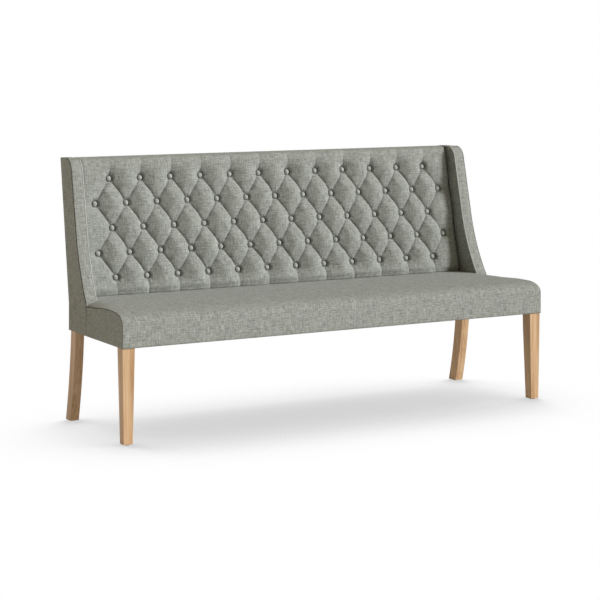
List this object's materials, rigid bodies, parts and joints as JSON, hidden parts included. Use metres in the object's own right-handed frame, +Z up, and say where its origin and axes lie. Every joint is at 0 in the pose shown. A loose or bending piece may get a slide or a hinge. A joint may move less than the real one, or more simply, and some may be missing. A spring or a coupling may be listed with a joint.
{
  "type": "upholstered_bench",
  "caption": "Banquette bench with a button-tufted raked back, low padded wings, a rounded seat edge and pale oak legs, covered in light grey woven cloth.",
  "frame": {"origin": "on the floor, at the middle of the bench's width and depth", "axes": "+X along the bench to the right of its front view, -Y toward the sitter's knees (the front), +Z up"},
  "size_m": [1.8, 0.6, 0.97],
  "materials": {
    "cover_fabric": "slubby linen weave",
    "oak": "pale matt oak",
    "frame_timber": "planed beech",
    "foam": "seat foam",
    "under_cloth": "woven black cloth",
    "steel": "zinc plated",
    "black_plastic": "moulded",
    "twine": "waxed twine"
  },
  "bodies": {
    "root": {"front_leg_left": "oak", "front_leg_right": "oak", "rear_leg_left": "oak", "rear_leg_right": "oak", "floor_glides": "black_plastic", "front_seat_rail": "frame_timber", "rear_seat_rail": "frame_timber", "side_seat_rail_left": "frame_timber", "side_seat_rail_right": "frame_timber", "cross_rails": "frame_timber", "corner_blocks": "frame_timber", "leg_bolts": "steel", "bolt_washers": "steel", "frame_bolts": "steel", "back_post_left": "frame_timber", "back_post_right": "frame_timber", "back_top_rail": "frame_timber", "back_lower_rail": "frame_timber", "back_bottom_rail": "frame_timber", "back_centre_posts": "frame_timber", "wing_frame_left": "frame_timber", "wing_frame_right": "frame_timber", "wing_pad_left": "cover_fabric", "wing_pad_right": "cover_fabric", "wing_border_left": "cover_fabric", "wing_border_right": "cover_fabric", "outer_side_panel_left": "cover_fabric", "outer_side_panel_right": "cover_fabric", "outer_back_panel": "cover_fabric", "tufting_board": "frame_timber", "board_screws": "steel", "back_foam": "foam", "back_cushion": "cover_fabric", "tuft_buttons": "cover_fabric", "button_ties": "twine", "button_toggles": "black_plastic", "seat_webbing": "under_cloth", "seat_lining": "under_cloth", "seat_foam": "foam", "seat_cover": "cover_fabric", "seat_side_panel_left": "cover_fabric", "seat_side_panel_right": "cover_fabric", "dust_cover": "under_cloth", "dust_cover_staples": "steel"}
  },
  "joints": []
}
